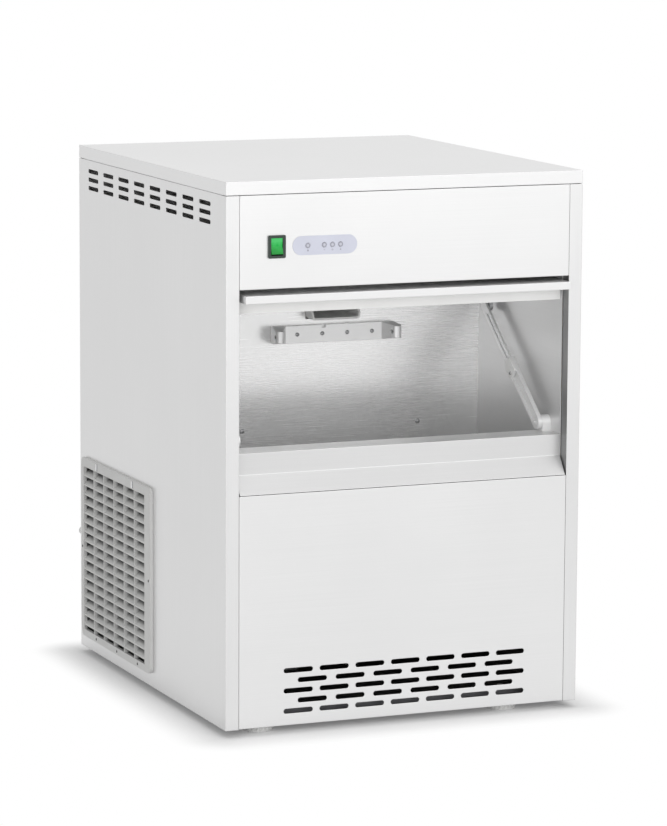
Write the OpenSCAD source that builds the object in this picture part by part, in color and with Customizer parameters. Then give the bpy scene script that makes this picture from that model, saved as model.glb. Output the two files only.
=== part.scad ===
// Flake ice machine: a free-standing stainless cabinet with a storage bin in front,
// an up-and-over bin door stowed under the control fascia, and an auger ice maker
// with its cooling unit behind and below the bin.
// Millimetres, +Z up, front faces -Y, origin on the floor under the cabinet's centre.

/* [Cabinet] */
// Width of the cabinet
body_w = 525; // [515:5:600]
// Depth from the front flanges to the back panel
body_d = 600; // [595:5:680]
// Height of the side panels, feet not counted
body_h = 745; // [735:5:820]
// Thickness of the sheet metal
sheet = 1; // [0.8:0.1:1.2]
// Width of the front flange of each side panel
flange_w = 19; // [15:1:21]
// Depth of the folds that stiffen the front panels
fold_d = 18; // [15:1:20]
// Height of the top cover's rim
cover_rim = 18; // [14:1:22]
// Seam that shows between neighbouring panels
seam = 0.9; // [0.5:0.1:0.9]

/* [Front] */
// Height of the control fascia
fascia_h = 126; // [120:1:140]
// Finger gap between the fascia and the stowed door
grip_gap = 7; // [5:0.5:9]
// Height of the slanted band below the bin mouth
slope_h = 25; // [15:1:35]
// Length of a cooling slot in the lower front panel
slot_l = 43; // [30:1:46]
// Width of a cooling slot in the lower front panel
slot_w = 7; // [5:0.5:9]
// Height from one row of cooling slots to the next
slot_rise = 14.1; // [12:0.1:16]

/* [Bin] */
// Clear depth of the bin behind the front recess
bin_depth = 275; // [265:5:300]
// Height of the bin floor above the cabinet's lower edge
bin_floor_h = 185; // [175:5:220]
// Depth of the ledge behind the sill
ledge_d = 45; // [35:1:60]
// Height of the machine space above the bin's ceiling
head_room = 103; // [95:1:110]
// Thickness of the foam under and behind the bin
foam_t = 15; // [10:1:18]

/* [Door] */
// Length of the door from its lip to its rear edge
door_len = 243; // [235:1:250]
// How far the stowed door's lip stands out of the front
lip_out = 15; // [10:1:18]
// Thickness of the door's outer pan
pan_t = 10.5; // [9:0.5:12]
// Thickness of the door's insulated inner body
core_t = 17.5; // [14:0.5:18]
// Gap between the closed door and the sill
door_gap = 3; // [2:0.5:5]
// Radius of the door's hinge pins
hinge_r = 4; // [3:0.5:5]

/* [Ice maker] */
// Inside radius of the freezing cylinder
barrel_r = 35; // [30:1:38]
// Length of the freezing cylinder
barrel_l = 210; // [190:5:220]
// Turns of the auger's flight
auger_turns = 4; // [2:1:6]

/* [Cooling] */
// Width of the side grille along the cabinet's depth
grille_w = 297; // [270:1:300]
// Height of the side grille
grille_h = 268; // [240:1:280]
// How far the side grille stands out of the panel
grille_out = 5; // [3:0.5:6]
// Louvre rows of the side grille
grille_rows = 17; // [12:1:20]
// Radius of the fan's blades
fan_r = 104; // [80:1:108]
// Blades of the fan
fan_blades = 5; // [3:1:7]
// Radius of the compressor's shell
shell_r = 72; // [60:1:75]

/* [Feet] */
// Height of a levelling foot below the cabinet
foot_h = 10; // [8:1:20]
// Radius of a levelling foot
foot_r = 21; // [16:1:24]

/* [Hidden] */
$fn = 48;
cut = 1;
fit = 0.3;
run = 0.05;

// Outer planes of the cabinet
xo = body_w / 2;
xi = xo - flange_w;
yf = -body_d / 2;
yb = body_d / 2;
zb = foot_h;
zt = foot_h + body_h;
z_seam = zt - cover_rim - seam;

// Half widths of what sits between the flanges
panel_gap = 0.5;
xp = xi - panel_gap;
liner_in = 1.5;
xb = xi - liner_in;

// Door at rest: stowed flat under the fascia
fascia_z0 = z_seam - fascia_h;
door_z1 = fascia_z0 - grip_gap;
door_z0 = door_z1 - pan_t;
core_z0 = door_z0 - core_t;
door_t = pan_t + core_t;
door_x = xb - 2.5;
door_y0 = yf - lip_out;
door_y1 = door_y0 + door_len;
core_y0 = yf + fold_d;
core_rear = 6;
core_y1 = door_y1 - core_rear;
hinge_in = 10;
hinge_y = door_y1 - hinge_in;
hinge_z = (door_z1 + core_z0) / 2;
door_travel = hinge_y - yf - door_t / 2;

// Sill, set by where the closed door ends
lip_z = hinge_z - (hinge_y - door_y0);
sill_z = lip_z + lip_out + fold_d - door_gap;
band_z = lip_z + 0.5;
slope_z = band_z - slope_h;
recess_y = yf + fold_d;

// Bin planes
bin_y0 = recess_y + ledge_d;
bin_y1 = recess_y + bin_depth;
bin_z0 = zb + bin_floor_h;
bin_z1 = zt - cover_rim - head_room;

// Strips beside the door, counted inwards from the bin's side walls
track_d = 6;
plate_t = 5.5;
stay_t = 6;
block_t = 3;
plate_x1 = xb - track_d - 0.5;
plate_x0 = plate_x1 - plate_t;
stay_x1 = plate_x0 - 1;
stay_x0 = stay_x1 - stay_t;
block_x0 = stay_x0 - block_t;
core_x = block_x0 - 2;

// Door carriage and its tracks, above the door's sweep
track_h = 12;
track_z0 = fascia_z0 + 4;
track_y0 = recess_y + 2;
track_y1 = bin_y1 - 3;
groove_h = 6;
groove_d = 4;
notch_y0 = hinge_y - 13;
notch_x0 = plate_x0 - 2;
bar_y0 = hinge_y + 22;
bar_w = 12;

// Telescopic stays: foot on the side wall, head beside the carriage's drop leg
stay_w = 20;
slide_w = 15;
slide_t = 3.5;
stay_foot_y = recess_y + 40;
stay_foot_z = sill_z + stay_w / 2 + 2;
stay_head_y = hinge_y + 19;
stay_head_z = hinge_z - 48;
stay_dy = stay_head_y - stay_foot_y;
stay_dz = stay_head_z - stay_foot_z;
stay_l = sqrt(stay_dy * stay_dy + stay_dz * stay_dz);
stay_angle = atan2(stay_dz, stay_dy);
stay_rail_l = 118;
stay_pin_r = 4;
block_l = 26;

// Slot patterns
slot_x0 = -178;
slot_z0 = zb + 20.3;
vent_l = 44;
vent_w = 6;
vent_pitch = 65.3;
vent_cols = 8;
vent_rows = 3;
vent_rise = 12.3;
vent_y0 = yf + 58.4;
vent_z0 = z_seam - 40.2;

// Side grille, at the rear of the left panel
grille_y1 = yb - 17.5;
grille_y0 = grille_y1 - grille_w;
grille_z0 = zb + 19;
grille_z1 = grille_z0 + grille_h;
grille_r = 10;
grille_cols = 6;
cell_y0 = grille_y0 + 23.5;
cell_y1 = grille_y1 - 11;
cell_z0 = grille_z0 + 10;
cell_z1 = grille_z1 - 13.5;
rib_t = 2;
grille_t = 14;
grille_hole_in = 12;

// Cooling unit behind the grille, between the bin's foam and the pipes at the back
pipe_y = yb - 15;
pipe_bend = 12;
coil_front = 6;
coil_rear = 12;
cool_gap = 2;
coil_end = pipe_y - pipe_bend - 1;
cool_y0 = bin_y1 + sheet + foam_t + coil_front + cool_gap;
cool_y1 = coil_end - coil_rear;
cool_y = (cool_y0 + cool_y1) / 2;
cool_z = (grille_z0 + grille_z1) / 2;
fin_x0 = -xo + sheet + 10;
fin_d = 45;
fin_h = 250;
fin_t = 1.5;
fin_pitch = 14;
coil_r = 4.5;
coil_rows = 8;
shroud_x0 = fin_x0 + fin_d;
shroud_l = 36;
shroud_wall = 1.5;
fan_gap = 4;
fan_x = shroud_x0 + 16;
hub_r = 30;
hub_l = 24;
shaft_r = 4;
motor_r = 42;
motor_l = 55;
spoke_w = 12;
spoke_t = 4;

// Ice maker column's place, from the right side, and the stand under its motor
ice_in = 254;
ice_x = xo - ice_in;
stand_half = 58;
stand_t = 3;
stand_foot = 20;
stand_h = 130;
stand_gap = 3.5;

// Compressor on its rubber mounts, beside the motor's stand
pan_sheet = 1.5;
pan_rim = 25;
floor_z = zb + pan_sheet;
plate_half = 80;
plate_h = 4;
plate_r = 12;
shell_x = ice_x + stand_half + stand_gap + plate_half;
shell_in = 150;
shell_y = yb - shell_in;
shell_base = 15;
shell_h = 180;
mount_at = 66;
mount_r = 14;
mount_hole_r = 4;
mount_bolt_r = 3.5;
mount_bolt_top = 4;
stub_l = 12;
stub_back = [25, 50];
stub_up = [75, 105];
stub_x = shell_x - shell_r - stub_l;
stub_y = [for (d = stub_back) shell_y + d];
stub_z = [for (d = stub_up) floor_z + d];
stub_r = 5;
terminal_in = 8;
terminal_out = 24;
terminal_half = 30;
terminal_z0 = 60;
terminal_h = 60;

// Pipes and dryer
coil_x = fin_x0 + fin_d / 2;
dryer_in = 90;
dryer_x = shell_x - dryer_in;
dryer_up = [140, 230];
dryer_z = [for (d = dryer_up) floor_z + d];
dryer_r = 11;
hot_in = 130;
hot_x = shell_x - hot_in;
hot_r = 4;
liquid_r = 3;
suction_r = 4.5;
suction_in = 45;

// Ice maker column
jacket_t = 25;
jacket_gap = 1;
barrel_wall = 4;
ice_y = bin_y1 + sheet + foam_t + barrel_r + barrel_wall + jacket_t + jacket_gap;
spout_drop = 49;
spout_z0 = core_z0 - spout_drop;
spout_floor = 6;
barrel_z1 = spout_z0 - spout_floor;
barrel_z0 = barrel_z1 - barrel_l;
gear_r = 58;
gear_h = 55;
gear_bolts = 6;
gear_bolt_r = 3;
drive_r = 48;
stand_z = zb + stand_h;
auger_shaft_r = 11;
auger_gap = 0.6;
flight_t = 7;
flight_end = 4;
flight_root = 3;
flight_gap = 0.2;
spout_w = 74;
spout_h = 44;
head_h = 58;
bearing_h = 25;
gear_z1 = barrel_z0 - bearing_h;
gear_z0 = gear_z1 - gear_h;
jacket_r = barrel_r + barrel_wall + jacket_t;
port_l = 12;
port_in = 10;
port_r = 6;
port_end = 30;
port_y = ice_y + jacket_r + port_l;
port_x = 20;
port_z = [barrel_z0 + port_end, barrel_z1 - port_end];
bearing_wall = 8;

// Water tank on the wall behind the bin
tank_in = 157.5;
tank_x0 = xo - tank_in;
tank_w = 110;
tank_d = 110;
tank_h = 110;
tank_wall = 3;
tank_y0 = bin_y1 + sheet + foam_t;
tank_drop = 60;
tank_z0 = barrel_z1 - tank_drop;
stem_r = 4;
stem_top = 4;
float_stop = 18;
float_r = 24;
float_h = 22;
tank_c = [tank_x0 + tank_w / 2, tank_y0 + tank_d / 2];
float_z0 = tank_z0 + tank_wall + float_stop;

// Rear connections
inlet_r = 13.2;
inlet_l = 15;
collar = 0.5;
neck_in = 1;
inlet_in = 72.5;
inlet_x = xo - inlet_in;
inlet_up = 250;
inlet_z = zb + inlet_up;
inlet_wall = 4;
inlet_bore_l = 20;
nut_t = 8;
nut_out = 5;
valve_l = 30;
valve_out = 1;
valve_coil_in = 26;
valve_coil_r = 11;
valve_coil_h = 44;
drain_r = 9;
drain_l = 15;
drain_up = 60;
drain_z = zb + drain_up;
drain_wall = 2;
gland_r = 9;
gland_up = 110;
gland_z = zb + gland_up;
gland_in = 10;
gland_out = 12;
gland_wall = 4;
gland_nut_out = 4;
gland_nut_t = 6;
bumper_r = 6;
bumper_l = 15;
bumper_up = 169;
bumper_z = zb + bumper_up;
bumper_in = 8;
hose_bend = 24;
hose_r = 8;
hose_x = -90;
hose_in = 60;
hose_y = yb - hose_in;
outlet_in = 40;
outlet_y = bin_y1 - outlet_in;
nut_y = yb - sheet - nut_t;

// Control fascia
switch_w = 25;
switch_h = 31;
switch_in = 72;
switch_x = -xo + switch_in;
switch_up = 56.5;
switch_z = fascia_z0 + switch_up;
rocker_w = 17;
rocker_h = 24;
pivot_r = 1.5;
pivot_l = 0.5;
pivot_in = 3;
pivot_y = yf + pivot_in;
overlay_w = 93.6;
overlay_h = 25.8;
overlay_in = 141.8;
overlay_x = -xo + overlay_in;
overlay_t = 0.6;
led_r = 3.4;
led_at = [-24.8, -1, 10.8, 22.6];
board_gap = 12;
board_w = 120;
board_h = 72;
board_t = 1.6;
post_in = 6;
post_r = 3;
chip_pitch = 30;
chip_x = [-8, 11];
chip_z = [-10, 6];
chip_t = 15.4;

// Sensor bracket on the bin's back wall
sensor_in = 181;
sensor_x0 = -xo + sensor_in;
sensor_w = 184;
sensor_drop = 33;
sensor_z0 = spout_z0 - sensor_drop;
sensor_h = 24.6;
sensor_tip_r = 7;
sensor_taper = 4;
wire_x = 73.6;
wire_w = 6;
wire_h = 4;
eye_r = 3;
sensor_arm = 34;
sensor_plate = 10;
sensor_arm_w = 18;

// Levelling feet
foot_left = 62;
foot_right = 98;
foot_front = 38;
foot_rear = 45;
foot_at = [
    [-xo + foot_left, yf + foot_front], [xo - foot_right, yf + foot_front],
    [-xo + foot_left, yb - foot_rear], [xo - foot_right, yb - foot_rear]
];
foot_base = 2;
stud_r = 5;
stud_l = 22;
flute_r = 2.2;
flute_out = 0.88;
flutes = 18;

// Box between two opposite corners
module box(lo, hi) translate(lo) cube(hi - lo);

// Outline in Y and Z, extruded from x0 to x1
module along_x(x0, x1) translate([x0, 0, 0]) rotate([90, 0, 90]) linear_extrude(x1 - x0) children();

// Outline in X and Z, extruded from y0 to y1
module along_y(y0, y1) translate([0, y1, 0]) rotate([90, 0, 0]) linear_extrude(y1 - y0) children();

// Round bar along X
module rod_x(x0, x1, y, z, r) translate([x0, y, z]) rotate([0, 90, 0]) cylinder(r = r, h = x1 - x0);

// Round bar along Y
module rod_y(y0, y1, x, z, r) translate([x, y0, z]) rotate([-90, 0, 0]) cylinder(r = r, h = y1 - y0);

// Flat slot with round ends, its left end at the origin
module stadium(l, w) {
    translate([w / 2, -w / 2]) square([l - w, w]);
    translate([w / 2, 0]) circle(d = w);
    translate([l - w / 2, 0]) circle(d = w);
}

// Rectangle with round corners, centred
module plate(w, h, r) {
    square([w - 2 * r, h], center = true);
    square([w, h - 2 * r], center = true);
    for (sx = [-1, 1], sy = [-1, 1])
        translate([sx * (w / 2 - r), sy * (h / 2 - r)]) circle(r = r);
}

// Both sides of the machine
module both_sides() {
    children();
    mirror([1, 0, 0]) children();
}

// Tray of folded sheet that closes part of the front
module front_tray(z0, z1) {
    difference() {
        box([-xp, yf, z0], [xp, yf + fold_d, z1]);
        box([-xp + sheet, yf + sheet, z0 + sheet], [xp - sheet, yf + fold_d + cut, z1 - sheet]);
    }
}

// Quarter bend at a corner, from direction d1 to direction d2
module elbow(corner, d1, d2, r, bend) {
    n = cross(d1, d2);
    c = corner + bend * (d2 - d1);
    multmatrix([
        [-d2[0], d1[0], n[0], c[0]],
        [-d2[1], d1[1], n[1], c[1]],
        [-d2[2], d1[2], n[2], c[2]]
    ]) rotate_extrude(angle = 90) translate([bend, 0]) circle(r = r);
}

// Tube through a list of points, with quarter bends between its straight runs
module pipe(points, r, bend) {
    last = len(points) - 1;
    way = [for (i = [0 : last - 1]) (points[i + 1] - points[i]) / norm(points[i + 1] - points[i])];
    for (i = [0 : last - 1]) {
        start = points[i] + (i > 0 ? bend : 0) * way[i];
        stop = points[i + 1] - (i < last - 1 ? bend : 0) * way[i];
        translate(start) rotate([0, acos(way[i][2]), atan2(way[i][1], way[i][0])])
            cylinder(r = r, h = norm(stop - start));
        if (i > 0) elbow(points[i], way[i - 1], way[i], r, bend);
    }
}

// Low dome-headed screw on the face of a wall, pointing along -Y
module wall_screw(x, y, z, r) {
    rod_y(y - 1.2, y, x, z, r);
    rod_y(y - 2, y - 1.2, x, z, r * 0.7);
}

module base_pan() color("silver") difference() {
    box([-xo + sheet, yf + fold_d, zb], [xo - sheet, yb - 2 * sheet, zb + pan_rim]);
    box([-xo + sheet + pan_sheet, yf + fold_d + pan_sheet, floor_z],
        [xo - sheet - pan_sheet, yb - 2 * sheet - pan_sheet, zb + pan_rim + cut]);
    for (p = foot_at) translate([p[0], p[1], zb - cut]) cylinder(r = stud_r + run, h = pan_rim);
}

// Side panel: wall, joggled top under the cover, front flange with its return, rear flange
module side_panel(with_grille) {
    joggle = sheet + fit;
    difference() {
        union() {
            box([-xo, yf, zb], [-xo + sheet, yb, z_seam]);
            box([-xo, yf + fold_d, z_seam - sheet], [-xo + joggle + sheet, yb - fold_d, z_seam]);
            box([-xo + joggle, yf + fold_d, z_seam - sheet],
                [-xo + joggle + sheet, yb - fold_d, zt - sheet]);
            box([-xo + joggle, yf + fold_d, zt - 2 * sheet], [-xo + flange_w, yb - fold_d, zt - sheet]);
            box([-xo, yf, zb], [-xi, yf + sheet, z_seam]);
            box([-xi - sheet, yf, zb], [-xi, yf + fold_d, z_seam]);
            box([-xo, yb - 2 * sheet, zb], [-xo + flange_w, yb - sheet, z_seam]);
        }
        for (c = [0 : vent_cols - 1], r = [0 : vent_rows - 1])
            translate([0, vent_y0 + c * vent_pitch, vent_z0 + r * vent_rise])
                along_x(-xo - cut, -xo + sheet + cut) stadium(vent_l, vent_w);
        if (with_grille)
            box([-xo - cut, grille_y0 + grille_hole_in, grille_z0 + 8],
                [-xo + sheet + cut, grille_y1 - 8, grille_z1 - grille_hole_in]);
    }
}

module left_side_panel() color("gainsboro") side_panel(true);

module right_side_panel() color("gainsboro") mirror([1, 0, 0]) side_panel(false);

module back_panel() color("gainsboro") {
    louvre_w = 60;
    louvre_gap = 18;
    louvre_z = zb + 420;
    louvre_rise = 28;
    difference() {
        box([-xo + sheet, yb - sheet, zb], [xo - sheet, yb, z_seam]);
        for (r = [0 : 7], c = [-1 : 1])
            translate([(c - 0.5) * louvre_w + c * louvre_gap, yb - sheet - cut, louvre_z + r * louvre_rise])
                mirror([0, 1, 0]) rotate([90, 0, 0]) linear_extrude(sheet + 2 * cut)
                    stadium(louvre_w, slot_w);
        rod_y(yb - sheet - cut, yb + cut, inlet_x, inlet_z, inlet_r + fit);
        rod_y(yb - sheet - cut, yb + cut, inlet_x, drain_z, drain_r + fit);
        rod_y(yb - sheet - cut, yb + cut, inlet_x, gland_z, gland_r + fit);
        for (s = [-1, 1])
            rod_y(yb - sheet - cut, yb + cut, s * (xo - bumper_in), bumper_z, bumper_r / 2 + fit);
    }
}

module top_cover() color("whitesmoke") difference() {
    box([-xo, yf, zt - cover_rim], [xo, yb, zt]);
    box([-xo + sheet, yf + sheet, zt - cover_rim - cut], [xo - sheet, yb - sheet, zt - sheet]);
}

module fascia_panel() color("whitesmoke") difference() {
    front_tray(fascia_z0, z_seam);
    box([switch_x - rocker_w / 2 - 1, yf - cut, switch_z - rocker_h / 2 - 1],
        [switch_x + rocker_w / 2 + 1, yf + sheet + cut, switch_z + rocker_h / 2 + 1]);
    for (dx = led_at) rod_y(yf - cut, yf + sheet + cut, overlay_x + dx, switch_z, led_r + fit);
}

module lower_front_panel() color("whitesmoke") {
    long_pitch = 52.9;
    short_pitch = 55.9;
    short_in = 20.7;
    difference() {
        front_tray(zb + seam, slope_z - seam);
        for (r = [0 : 4]) {
            odd = r % 2;
            pitch = odd == 0 ? long_pitch : short_pitch;
            for (c = [0 : 6 - odd])
                translate([slot_x0 + odd * short_in + c * pitch, yf + sheet + cut, slot_z0 + r * slot_rise])
                    rotate([90, 0, 0]) linear_extrude(sheet + 2 * cut) stadium(slot_l, slot_w);
        }
    }
}

// Sill: slanted band, recessed upright, ledge and a hem down into the bin
module bin_sill() color("whitesmoke") {
    hem = 10;
    along_x(-xb, xb) polygon([
        [yf, slope_z], [recess_y, band_z], [recess_y, sill_z], [bin_y0, sill_z],
        [bin_y0, sill_z - hem], [bin_y0 - sheet, sill_z - hem],
        [bin_y0 - sheet, sill_z - sheet], [recess_y + sheet, sill_z - sheet],
        [recess_y + sheet, band_z], [yf + 2 * sheet, slope_z + sheet],
        [recess_y, slope_z + sheet], [recess_y, slope_z]
    ]);
}

module bin_back_wall() color("lightgray") difference() {
    box([-xb - sheet, bin_y1, bin_z0 - sheet], [xb + sheet, bin_y1 + sheet, bin_z1]);
    box([ice_x - spout_w / 2 - fit, bin_y1 - cut, spout_z0 - fit],
        [ice_x + spout_w / 2 + fit, bin_y1 + sheet + cut, spout_z0 + spout_h + fit]);
}

module bin_wall() box([xb, recess_y, bin_z0 - sheet], [xb + sheet, bin_y1, bin_z1]);

module bin_left_wall() color("lightgray") mirror([1, 0, 0]) bin_wall();

module bin_right_wall() color("lightgray") bin_wall();

module bin_floor() color("lightgray") difference() {
    box([-xb, bin_y0 - 2 * sheet, bin_z0 - sheet], [xb, bin_y1, bin_z0]);
    translate([0, bin_y1 - 40, bin_z0 - sheet - cut]) cylinder(r = drain_r, h = sheet + 2 * cut);
}

module bin_front_wall() color("lightgray")
    box([-xb, bin_y0 - 2 * sheet, bin_z0], [xb, bin_y0 - sheet, sill_z - sheet]);

module bin_ceiling() color("lightgray")
    box([-xb - sheet, recess_y, bin_z1], [xb + sheet, bin_y1 + sheet, bin_z1 + sheet]);

// Foam around the bin: both sides, floor, front and back
module bin_insulation() color("khaki") {
    foam_z = bin_z0 - sheet - foam_t;
    foam_in = 12;
    difference() {
        union() {
            both_sides() box([xb + sheet, recess_y + foam_in, foam_z], [xo - sheet, bin_y1, bin_z1]);
            box([-xb - sheet, recess_y, foam_z], [xb + sheet, bin_y1 + sheet, bin_z0 - sheet]);
            box([-xb, recess_y, bin_z0 - sheet], [xb, bin_y0 - 2 * sheet, slope_z - seam]);
            box([-xb, bin_y1 + sheet, foam_z], [xb, bin_y1 + sheet + foam_t, spout_z0 - 2]);
        }
        translate([0, bin_y1 - 40, foam_z - cut]) cylinder(r = drain_r, h = foam_t + 2 * cut);
    }
}

// Head on top of the freezing cylinder, with the chute that drops ice into the bin
module ice_spout() color("white") {
    head_r = barrel_r + barrel_wall + jacket_t - 4;
    wall = 3;
    out = 24;
    lip = 7;
    chute_y0 = bin_y1 - out;
    chute_z1 = spout_z0 + spout_h;
    difference() {
        union() {
            translate([ice_x, ice_y, barrel_z1]) cylinder(r = head_r, h = head_h);
            translate([ice_x, ice_y, spout_z0 + spout_h / 2]) rotate([90, 0, 0])
                linear_extrude(ice_y - chute_y0) plate(spout_w, spout_h, 6);
        }
        translate([ice_x, ice_y, barrel_z1 - cut]) cylinder(r = barrel_r, h = head_h - wall + cut);
        translate([ice_x, ice_y, spout_z0 + spout_h / 2]) rotate([90, 0, 0])
            linear_extrude(ice_y - chute_y0 + cut) plate(spout_w - 2 * wall, spout_h - 2 * wall, 3);
        translate([ice_x, ice_y, barrel_z1 - cut]) cylinder(r = auger_shaft_r + run, h = head_h + 2 * cut);
        along_x(ice_x - spout_w, ice_x + spout_w) polygon([
            [chute_y0 - cut, spout_z0 + lip], [bin_y1 - wall, chute_z1 + cut],
            [chute_y0 - cut, chute_z1 + cut]
        ]);
    }
}

// Bracket that holds the ice level sensors: a back rail and two arms with round tips
module sensor_bracket() color("darkgray") {
    flare = 5;
    neck = sensor_tip_r - 0.8;
    x0 = sensor_x0;
    x1 = sensor_x0 + sensor_w;
    z1 = sensor_z0 + sensor_h;
    mid_y = bin_y1 - sensor_plate;
    end_y = bin_y1 - sensor_arm;
    tip_y = end_y + sensor_tip_r;
    left = x0 - flare + sensor_tip_r;
    right = x1 + flare - sensor_tip_r;
    difference() {
        intersection() {
            translate([0, 0, sensor_z0]) linear_extrude(sensor_h) {
                polygon([
                    [x0, bin_y1], [left - neck, tip_y], [left + neck, tip_y],
                    [x0 + sensor_arm_w, mid_y], [x1 - sensor_arm_w, mid_y],
                    [right - neck, tip_y], [right + neck, tip_y], [x1, bin_y1]
                ]);
                for (x = [left, right]) translate([x, tip_y]) circle(r = sensor_tip_r);
            }
            along_x(x0 - sensor_arm_w, x1 + sensor_arm_w) polygon([
                [bin_y1, sensor_z0], [mid_y, sensor_z0], [end_y, sensor_z0 + sensor_taper],
                [end_y, z1 - sensor_taper], [mid_y, z1], [bin_y1, z1]
            ]);
        }
        rod_x(x0 - sensor_arm_w, x1 + sensor_arm_w, tip_y, sensor_z0 + sensor_h / 2, eye_r + run);
        translate([x0 + wire_x, mid_y - cut, z1 - wire_h]) cube([wire_w, wire_w, wire_h + cut]);
    }
}

module sensor_eyes() color("black") {
    eye_l = 11;
    tip_y = bin_y1 - sensor_arm + sensor_tip_r;
    for (x = [sensor_x0 - 4, sensor_x0 + sensor_w + 4 - eye_l])
        rod_x(x, x + eye_l, tip_y, sensor_z0 + sensor_h / 2, eye_r);
}

module bracket_screws() color("dimgray")
    for (i = [0 : 3])
        wall_screw(sensor_x0 + 36 + i * 38.4, bin_y1 - sensor_plate, sensor_z0 + sensor_h / 2, 3);

module bin_screws() color("dimgray")
    for (x = [-xo + 137, -xo + 409]) wall_screw(x, bin_y1, sill_z - 17, 3.5);

// Bezel of the mains switch, snapped into the fascia
module switch_bezel() color("black") {
    body_w2 = rocker_w + 2 - 2 * fit;
    body_h2 = rocker_h + 2 - 2 * fit;
    depth = 22;
    difference() {
        union() {
            translate([switch_x, yf, switch_z]) rotate([90, 0, 0]) linear_extrude(2.5)
                plate(switch_w, switch_h, 2);
            box([switch_x - body_w2 / 2, yf, switch_z - body_h2 / 2],
                [switch_x + body_w2 / 2, yf + depth, switch_z + body_h2 / 2]);
        }
        box([switch_x - rocker_w / 2, yf - 2.5 - cut, switch_z - rocker_h / 2],
            [switch_x + rocker_w / 2, yf + 12, switch_z + rocker_h / 2]);
        rod_x(switch_x - switch_w, switch_x + switch_w, pivot_y, switch_z, pivot_r + run);
    }
}

// Rocker of the mains switch, tipped to one side about its own pivot
module switch_rocker() color("limegreen") {
    tip = 8;
    half = rocker_h / 2 - 1.2;
    reach = rocker_w / 2 + pivot_l;
    rod_x(switch_x - reach, switch_x + reach, pivot_y, switch_z, pivot_r);
    translate([0, pivot_y, switch_z]) rotate([-tip, 0, 0])
        along_x(switch_x - rocker_w / 2 + fit, switch_x + rocker_w / 2 - fit)
            polygon([[-6, half], [-3.8, 0], [-6, -half], [2, -half], [5, 0], [2, half]]);
}

module indicator_overlay() color("lavender") difference() {
    translate([overlay_x - overlay_w / 2, yf, switch_z]) rotate([90, 0, 0])
        linear_extrude(overlay_t) stadium(overlay_w, overlay_h);
    for (dx = led_at) rod_y(yf - overlay_t - cut, yf + cut, overlay_x + dx, switch_z, led_r + fit);
}

module led_lenses() color("white")
    for (dx = led_at) rod_y(yf - 1, yf + sheet + board_gap, overlay_x + dx, switch_z, led_r);

// Circuit board on four posts behind the fascia, with its relays
module control_board() color("darkgreen") {
    y0 = yf + sheet + board_gap;
    half_w = board_w / 2;
    half_h = board_h / 2;
    box([overlay_x - half_w, y0, switch_z - half_h], [overlay_x + half_w, y0 + board_t, switch_z + half_h]);
    for (sx = [-1, 1], sz = [-1, 1])
        rod_y(yf + sheet, y0, overlay_x + sx * (half_w - post_in),
            switch_z + sz * (half_h - post_in), post_r);
    for (i = [-1 : 1])
        translate([overlay_x + i * chip_pitch, y0 + board_t, switch_z])
            box([chip_x[0], 0, chip_z[0]], [chip_x[1], chip_t, chip_z[1]]);
}

// Door: outer pan with its lip, open underneath at the front
module door_pan() color("whitesmoke") difference() {
    box([-door_x, door_y0, door_z0], [door_x, door_y1, door_z1]);
    box([-door_x + sheet, door_y0 + sheet, door_z0 + sheet], [door_x - sheet, core_y0, door_z1 - sheet]);
    box([-door_x + sheet, core_y0 - cut, door_z0 - cut],
        [door_x - sheet, door_y1 - sheet, door_z1 - sheet]);
    both_sides() box([notch_x0, notch_y0, door_z0 - cut], [door_x + cut, door_y1 + cut, door_z1 + cut]);
}

// Door: insulated body with a full-width front edge and the bores for the hinge pins
module door_core() color("white") difference() {
    union() {
        box([-core_x, core_y0, core_z0], [core_x, core_y1, door_z0]);
        box([-door_x, core_y0, core_z0], [door_x, core_y0 + 2, door_z0]);
        box([-door_x + sheet, core_y0, door_z0], [door_x - sheet, door_y1 - sheet, door_z1 - sheet]);
    }
    both_sides() box([notch_x0, notch_y0, door_z0 - cut], [door_x, door_y1, door_z1]);
    both_sides() rod_x(core_x - 12, notch_x0 + cut, hinge_y, hinge_z, hinge_r + run);
}

// Carriage: cross bar, side plates with hinge pins, drop legs and sliding tongues
module door_carriage() color("silver") {
    pin_in = 10;
    plate_r = 8;
    leg_w = 11;
    leg_y = stay_head_y - hinge_y;
    leg_z = stay_head_z - hinge_z;
    leg_l = sqrt(leg_y * leg_y + leg_z * leg_z);
    tongue_z = track_z0 + track_h / 2;
    bar_z0 = track_z0;
    bar_z1 = track_z0 + track_h - 2;
    box([-plate_x1, bar_y0, bar_z0], [plate_x1, bar_y0 + bar_w, bar_z1]);
    both_sides() {
        along_x(plate_x0, plate_x1) {
            translate([hinge_y, hinge_z]) circle(r = plate_r);
            translate([hinge_y, hinge_z - plate_r]) square([bar_y0 + bar_w - hinge_y, 2 * plate_r]);
            translate([bar_y0, hinge_z - plate_r]) square([bar_w, bar_z1 - hinge_z + plate_r]);
            translate([hinge_y, hinge_z]) rotate(atan2(leg_z, leg_y)) translate([0, -leg_w / 2])
                square([leg_l, leg_w]);
            translate([stay_head_y, stay_head_z]) circle(r = plate_r);
        }
        rod_x(core_x - pin_in, plate_x0, hinge_y, hinge_z, hinge_r);
        box([plate_x1, bar_y0 - 16, tongue_z - groove_h / 2 + fit],
            [xb - track_d + groove_d - fit, bar_y0 + bar_w, tongue_z + groove_h / 2 - fit]);
    }
}

// Grooved tracks on the bin's side walls
module door_tracks() color("silver") both_sides() difference() {
    box([xb - track_d, track_y0, track_z0], [xb, track_y1, track_z0 + track_h]);
    box([xb - track_d - cut, track_y0 - cut, track_z0 + (track_h - groove_h) / 2],
        [xb - track_d + groove_d, track_y1 + cut, track_z0 + (track_h + groove_h) / 2]);
}

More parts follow.
